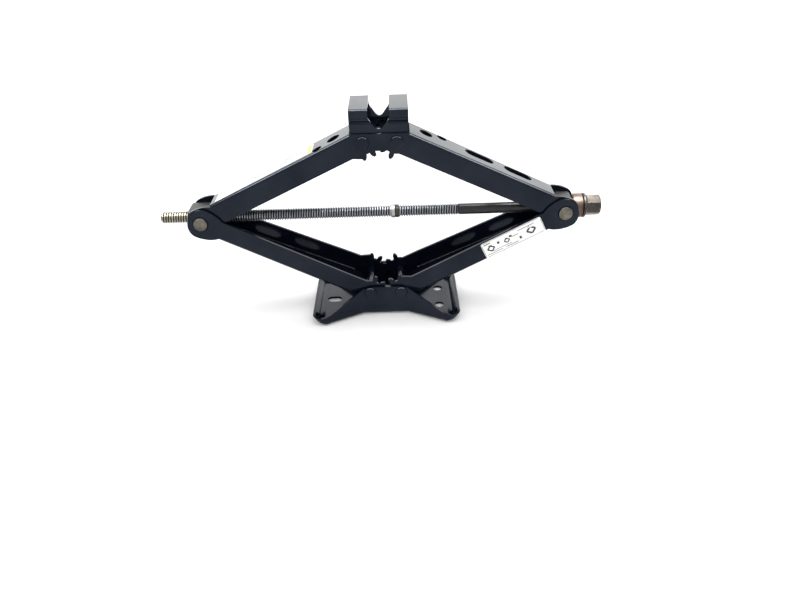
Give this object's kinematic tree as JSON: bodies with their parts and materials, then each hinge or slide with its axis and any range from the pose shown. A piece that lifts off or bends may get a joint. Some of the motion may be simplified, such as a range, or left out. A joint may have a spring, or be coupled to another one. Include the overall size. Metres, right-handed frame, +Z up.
{
  "type": "scissor car jack",
  "caption": "Scissor jack with a pressed base, four geared channel arms, a lead screw with a hex drive head and ball thrust bearing, and a slotted saddle.",
  "frame": {"origin": "centre of the base's underside, on the ground", "axes": "+X along the lead screw towards the hex drive head, +Z up, +Y away from the side with the label on the lower right arm"},
  "size_m": [0.5266, 0.116, 0.2581],
  "materials": {
    "paint": "glossy near-black blue-grey enamel",
    "pin_steel": "bare steel, beige-grey",
    "head_steel": "bare steel, warm grey",
    "bearing_steel": "ground bearing steel",
    "cup_steel": "copper-brown tinted pressed steel",
    "screw_steel": "dark rolled thread with lighter crests",
    "zinc": "bright zinc plate",
    "label": "white printed film"
  },
  "bodies": {
    "base": {"base_plate": "paint", "base_pivot_rivet_left": "paint", "base_pivot_rivet_right": "paint"},
    "lower_left": {"lower_arm_left": "paint"},
    "lower_right": {"lower_arm_right": "paint", "side_label": "label"},
    "upper_left": {"upper_arm_left": "paint", "top_label": "label"},
    "upper_right": {"upper_arm_right": "paint"},
    "nut": {"screw_nut": "pin_steel"},
    "thrust_trunnion": {"thrust_trunnion": "pin_steel", "bearing_cup": "cup_steel", "fixed_race": "bearing_steel"},
    "bearing_cage": {"ball_cage": "cup_steel", "bearing_ball_1": "bearing_steel", "bearing_ball_2": "bearing_steel", "bearing_ball_3": "bearing_steel", "bearing_ball_4": "bearing_steel", "bearing_ball_5": "bearing_steel", "bearing_ball_6": "bearing_steel", "bearing_ball_7": "bearing_steel", "bearing_ball_8": "bearing_steel", "bearing_ball_9": "bearing_steel", "bearing_ball_10": "bearing_steel"},
    "screw": {"lead_screw": "screw_steel", "stop_ring": "zinc", "drive_head": "head_steel", "turning_race": "bearing_steel"},
    "saddle": {"saddle": "paint", "saddle_pivot_rivet_left": "paint", "saddle_pivot_rivet_right": "paint"}
  },
  "joints": [
    {"name": "screw_turn", "type": "hinge", "parent": "thrust_trunnion", "child": "screw", "pos_m": [0.21543, 0, 0.12554], "axis": [-1, 0, 0], "range_deg": [-10000, 19940]},
    {"name": "cage_turn", "type": "hinge", "parent": "thrust_trunnion", "child": "bearing_cage", "pos_m": [0.21543, 0, 0.12554], "axis": [-1, 0, 0], "range_deg": [-5004, 9974]},
    {"name": "base_to_lower_left", "type": "hinge", "parent": "base", "child": "lower_left", "pos_m": [-0.019, 0, 0.031], "axis": [0, 1, 0], "range_deg": [-19.75, 39.35]},
    {"name": "base_to_lower_right", "type": "hinge", "parent": "base", "child": "lower_right", "pos_m": [0.019, 0, 0.031], "axis": [0, -1, 0], "range_deg": [-19.7, 39.3]},
    {"name": "lower_left_to_nut", "type": "hinge", "parent": "lower_left", "child": "nut", "pos_m": [-0.21543, 0, 0.12554], "axis": [0, -1, 0], "range_deg": [-19.75, 39.35]},
    {"name": "lower_right_to_thrust", "type": "hinge", "parent": "lower_right", "child": "thrust_trunnion", "pos_m": [0.21543, 0, 0.12554], "axis": [0, 1, 0], "range_deg": [-19.75, 39.35]},
    {"name": "lower_left_to_upper_left", "type": "hinge", "parent": "lower_left", "child": "upper_left", "pos_m": [-0.21543, 0, 0.12554], "axis": [0, -1, 0], "range_deg": [-39.45, 78.65]},
    {"name": "lower_right_to_upper_right", "type": "hinge", "parent": "lower_right", "child": "upper_right", "pos_m": [0.21543, 0, 0.12554], "axis": [0, 1, 0], "range_deg": [-39.45, 78.65]},
    {"name": "upper_left_to_saddle", "type": "hinge", "parent": "upper_left", "child": "saddle", "pos_m": [-0.019, 0, 0.22007], "axis": [0, 1, 0], "range_deg": [-19.75, 39.35]}
  ],
  "couplings": [
    {"joint": "screw_turn", "follows": "base_to_lower_right", "ratio": 507.15},
    {"joint": "cage_turn", "follows": "base_to_lower_right", "ratio": 253.58},
    {"joint": "base_to_lower_left", "follows": "base_to_lower_right", "ratio": 1},
    {"joint": "lower_left_to_nut", "follows": "base_to_lower_right", "ratio": 1},
    {"joint": "lower_right_to_thrust", "follows": "base_to_lower_right", "ratio": 1},
    {"joint": "lower_left_to_upper_left", "follows": "base_to_lower_right", "ratio": 2},
    {"joint": "lower_right_to_upper_right", "follows": "base_to_lower_right", "ratio": 2},
    {"joint": "upper_left_to_saddle", "follows": "base_to_lower_right", "ratio": 1}
  ]
}
